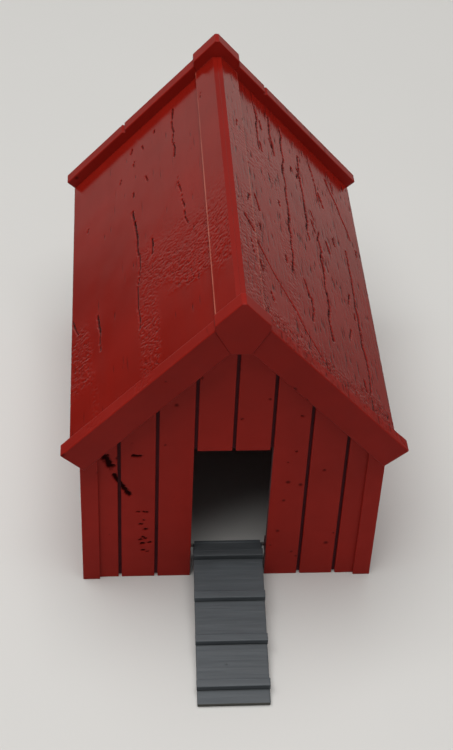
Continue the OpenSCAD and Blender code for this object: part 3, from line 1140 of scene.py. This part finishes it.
# The lower edge of the toe just meets the ground
RAMP_TILT = math.asin(HINGE[2] / math.hypot(RAMP_LENGTH, DECK_BOTTOM)) + math.atan(DECK_BOTTOM / RAMP_LENGTH)
TOEWARD = np.array([0.0, -math.cos(RAMP_TILT), -math.sin(RAMP_TILT)])
ABOVE = np.array([0.0, -math.sin(RAMP_TILT), math.cos(RAMP_TILT)])


def across_ramp(half):
    """Low and high ends of a piece that lies across the ramp and follows the drift of its toe."""
    slant = TOE_DRIFT / RAMP_LENGTH
    return (lambda a, b: slant * a - half), (lambda a, b: slant * a + half)


def ramp_relief(seed):
    """Relief of the ramp: faint lines across and one pinhole, with painted shade at the cleats' feet and
    towards the hinge, and a brownish olive tint on the toe's end face, for the paint to read.
    """

    def relief(spots, face):
        local = spots - HINGE
        s = local @ TOEWARD
        x = spots[:, 0]
        lines = layered(s / 0.7, x / 9.0, seed)
        hole = smooth(0.0, 1.0, 1.0 - np.hypot(s - 34.5, x + 2.0) / 0.4)
        behind = (RAMP_LENGTH - CLEAT_START - s) % CLEAT_PITCH
        # Painted shade: a dark line at the foot of each cleat, on its downhill face and the deck beside it,
        # and darker towards the upper end, which lies in the doorway's shade.
        foot = smooth(0.5, 0.0, np.minimum(np.abs(behind - CLEAT_PITCH), behind)) * (local @ ABOVE < 1.25)
        painted_shade = np.maximum(0.6 * foot * (face @ ABOVE > -0.3), 0.5 * smooth(7.4, 4.6, s + 0.5 * lines))
        # A brownish olive tint on the toe's end face.
        toe = (face @ TOEWARD > 0.7) * (s > 44.0)
        depth = 0.02 + 0.018 * lines + 0.012 * layered(s / 6.0, x / 6.0, seed + 4)
        # Crests of the lines, which the paint lightens as a painted highlight.
        crest = smooth(0.2, 0.8, lines)
        dark = np.maximum(hole, painted_shade)
        return {"depth": depth + 0.15 * hole, "crack": dark, "crest": 0.4 * crest, "painted_highlight_and_toe_tint": 1.0 * toe}

    return relief


class COOP_OT_ramp_deck(Operator):
    """Adds the ramp's deck and the hinge barrel along its upper end"""

    bl_idname = "coop.ramp_deck"
    bl_label = "Ramp deck"

    def execute(self, context):
        """The deck's side view is carried across the ramp; its upper end fits round the barrel, which is a
        ring turned about the hinge axis.
        """
        fold = np.radians(np.linspace(-11.5, 75.0, 9))
        seat = [(BARREL_RADIUS * math.cos(t), BARREL_RADIUS * math.sin(t)) for t in fold]
        toe = [(RAMP_LENGTH, DECK_BOTTOM), (RAMP_LENGTH, BARREL_RADIUS)]
        side = [(seat[-1][0], BARREL_RADIUS), *reversed(seat), *toe]
        radii = [0.01] + [0.0] * len(seat) + [0.1, 0.25]
        steps = [0.3] * len(seat) + [1.0, 0.3, 0.3]
        outline = rounded_outline(side, radii, steps, 4)
        start, stop = across_ramp(DECK_HALF)
        deck = carried(
            "painted_ramp_deck", outline, start, stop, (TOEWARD, ABOVE, X), HINGE,
            round_end=0.2, step=0.35, relief=ramp_relief(800),
        )
        fit(deck, "ramp", "grey_ramp", "ramp_deck")
        soft = 0.12
        reach, inner, outer = BARREL_HALF, BORE_RADIUS, BARREL_RADIUS
        ring = [
            (-reach, outer - soft), (-reach, inner + soft), (-reach + soft, inner), (reach - soft, inner),
            (reach, inner + soft), (reach, outer - soft), (reach - soft, outer), (-reach + soft, outer),
        ]
        barrel = turned("painted_ramp_barrel", ring[::-1], (0.0, HINGE[1], HINGE[2]), 40, ring=True)
        fit(barrel, "ramp", "grey_ramp", "ramp_deck")
        return {"FINISHED"}


class COOP_OT_ramp_cleats(Operator):
    """Adds the four cleats across the ramp"""

    bl_idname = "coop.ramp_cleats"
    bl_label = "Ramp cleats"

    def execute(self, context):
        """Each cleat's side view, rounded on top, is carried across the ramp; the four become one mesh."""
        parts = []
        for k in range(CLEATS):
            lower = RAMP_LENGTH - CLEAT_START - CLEAT_PITCH * k
            upper = lower - CLEAT_WIDTH
            top = [(lower - CLEAT_SLANT, CLEAT_TOP), (upper, CLEAT_TOP)]
            box = [(upper, BARREL_RADIUS), (lower, BARREL_RADIUS), *top]
            outline = rounded_outline(box, [0.05, 0.05, 0.3, 0.35], 0.25, 4)
            start, stop = across_ramp(CLEAT_HALF)
            parts.append(carried(
                f"cleat_{k}", outline, start, stop, (TOEWARD, ABOVE, X), HINGE,
                round_end=0.15, step=0.35, relief=ramp_relief(820 + k),
            ))
        piece = joined("painted_ramp_cleats", parts)
        fit(piece, "ramp", "grey_ramp", "ramp_cleats")
        return {"FINISHED"}


def joined(name, parts):
    """One object that holds the meshes of several."""
    for part in bpy.context.scene.objects:
        part.select_set(part in parts)
    bpy.context.view_layer.objects.active = parts[0]
    bpy.ops.object.join()
    parts[0].name = name
    parts[0].data.name = name
    return parts[0]


class COOP_OT_hinge_rod(Operator):
    """Adds the steel rod that the ramp turns on"""

    bl_idname = "coop.hinge_rod"
    bl_label = "Hinge rod"

    def execute(self, context):
        """A rod with domed edges, turned about the hinge axis."""
        reach, soft = span("hinge_rod")[1][0], 0.15
        end = [(reach, ROD_RADIUS - soft), (reach - soft, ROD_RADIUS)]
        profile = [(-x, r) for x, r in end] + [(x, r) for x, r in reversed(end)]
        piece = turned("steel_hinge_rod", profile, (0.0, HINGE[1], HINGE[2]), 32)
        fit(piece, "house", "steel_pin", "hinge_rod")
        return {"FINISHED"}


# Camera, lamp and room, in metres and degrees
CAMERA_PLACE = (-0.0276, -0.3028, 0.3119)
CAMERA_TURN = (47.97, -2.18, -3.32)
LAMP_PLACE = (-0.16, -0.06, LAMP_HEIGHT)
LAMP_SIDE = 1.3
TABLE_SIDE = 6.0
# What reflections see of the room, by the direction from straight behind the house: the glow is low to the
# left, high behind the house and lower again to the right
ROOM_GLOW = (
    (-41.0, 0.01), (-38.5, 0.08), (-36.0, 0.33), (-33.0, 0.38), (31.0, 0.52), (36.0, 0.4), (42.0, 0.16),
)


class COOP_OT_stage(Operator):
    """Adds the table, the lights and the camera"""

    bl_idname = "coop.stage"
    bl_label = "Stage"

    def execute(self, context):
        scene, stage = context.scene, context.scene.coop_stage
        bpy.ops.mesh.primitive_plane_add(size=TABLE_SIDE)
        floor = context.object
        floor.name = "stage_table"
        floor.data.materials.append(floor_paint(stage.table))
        floor.visible_glossy = False
        world = bpy.data.worlds.new("room")
        scene.world = world
        world.use_nodes = True
        back = world.node_tree.nodes["Background"]
        back.inputs["Color"].default_value = (1.0, 0.99, 0.97, 1.0)
        back.inputs["Strength"].default_value = stage.sky
        self.lamp("ceiling_lamp", LAMP_PLACE, LAMP_SIDE, stage.lamp)
        self.room_ring()
        self.far_wall()
        data = bpy.data.cameras.new("camera")
        data.lens = stage.lens
        data.sensor_width = 36.0
        data.clip_start = 0.01
        camera = bpy.data.objects.new("camera", data)
        camera.location = CAMERA_PLACE
        camera.rotation_euler = [math.radians(turn) for turn in CAMERA_TURN]
        scene.collection.objects.link(camera)
        scene.camera = camera
        scene.view_settings.view_transform = "Standard"
        return {"FINISHED"}

    def room_ring(self):
        """Glow of the room behind the house, which only reflections see."""
        turn = np.linspace(-115.0, 115.0, 116)
        glow = np.interp(turn, *zip(*ROOM_GLOW))
        ring = self.band("stage_room_ring", turn, glow, 2.0, (-0.75, 0.75), (1.0, 0.92, 0.85, 1.0))
        ring.visible_camera = False

    def far_wall(self):
        """Pale wall all round the table, which only the camera sees."""
        turn = np.linspace(-180.0, 180.0, 73)
        wall = self.band("stage_far_wall", turn, 1.0 + 0 * turn, 2.9, (-0.01, 4.0), FAR_GLOW)
        wall.visible_glossy = False

    @staticmethod
    def band(name, turn, glow, reach, heights, colour):
        """Upright band about the house, at a distance reach and between two heights in metres, that glows
        in a colour by the share that each direction is given and lights nothing.
        """
        low, high = heights
        angle = np.radians(turn)
        foot = np.stack([reach * np.sin(angle), reach * np.cos(angle), 0 * turn + low], 1)
        spots = np.concatenate([foot, foot + [0, 0, high - low]])
        k = np.arange(len(turn) - 1)
        faces = np.stack([k, k + len(turn), k + 1 + len(turn), k + 1], 1)
        ring = mesh_object(name, spots / MM, faces, [], {"glow": np.tile(glow, 2)})
        paint = Paint(name)
        shown = paint.mix(paint.attribute("glow"), BLACK, colour)
        ring.data.materials.append(paint.finish(
            BLACK, 1.0, Specular_IOR_Level=0.0, Emission_Color=shown, Emission_Strength=1.0,
        ))
        ring.visible_diffuse = ring.visible_shadow = False
        ring.visible_transmission = ring.visible_volume_scatter = False
        return ring

    @staticmethod
    def lamp(name, place, size, power):
        """Square area lamp that points at the house."""
        data = bpy.data.lights.new(name, "AREA")
        data.size = size
        data.energy = power
        lamp = bpy.data.objects.new(name, data)
        lamp.location = place
        aim = -np.array(place) / np.linalg.norm(place)
        lamp.rotation_euler = (math.acos(-aim[2]), 0.0, math.atan2(-aim[0], aim[1]))
        bpy.context.scene.collection.objects.link(lamp)


class COOP_PT_panel(Panel):
    """Lists the pieces of the coop and their settings"""

    bl_idname = "COOP_PT_panel"
    bl_label = "Chicken coop"
    bl_space_type = "VIEW_3D"
    bl_region_type = "UI"
    bl_category = "Coop"

    def draw(self, context):
        for group in (context.scene.coop_shape, context.scene.coop_paint, context.scene.coop_stage):
            box = self.layout.box()
            for key in type(group).__annotations__:
                box.prop(group, key)
        for piece in PIECES:
            self.layout.operator(piece.bl_idname)


PIECES = (
    COOP_OT_stage, COOP_OT_sheets, COOP_OT_gable_boards, COOP_OT_side_boards, COOP_OT_corner_trims,
    COOP_OT_roof_panels, COOP_OT_ridge_boards, COOP_OT_rake_boards, COOP_OT_peak_plates, COOP_OT_ramp_deck,
    COOP_OT_ramp_cleats, COOP_OT_hinge_rod,
)
CLASSES = (CoopShape, CoopPaint, CoopStage, *PIECES, COOP_PT_panel)


def register():
    for made in CLASSES:
        bpy.utils.register_class(made)
    bpy.types.Scene.coop_shape = PointerProperty(type=CoopShape)
    bpy.types.Scene.coop_paint = PointerProperty(type=CoopPaint)
    bpy.types.Scene.coop_stage = PointerProperty(type=CoopStage)


def unregister():
    del bpy.types.Scene.coop_stage
    del bpy.types.Scene.coop_paint
    del bpy.types.Scene.coop_shape
    for made in reversed(CLASSES):
        bpy.utils.unregister_class(made)


def main():
    register()
    for piece in PIECES:
        group, name = piece.bl_idname.split(".")
        getattr(getattr(bpy.ops, group), name)()


if __name__ == "__main__":
    main()
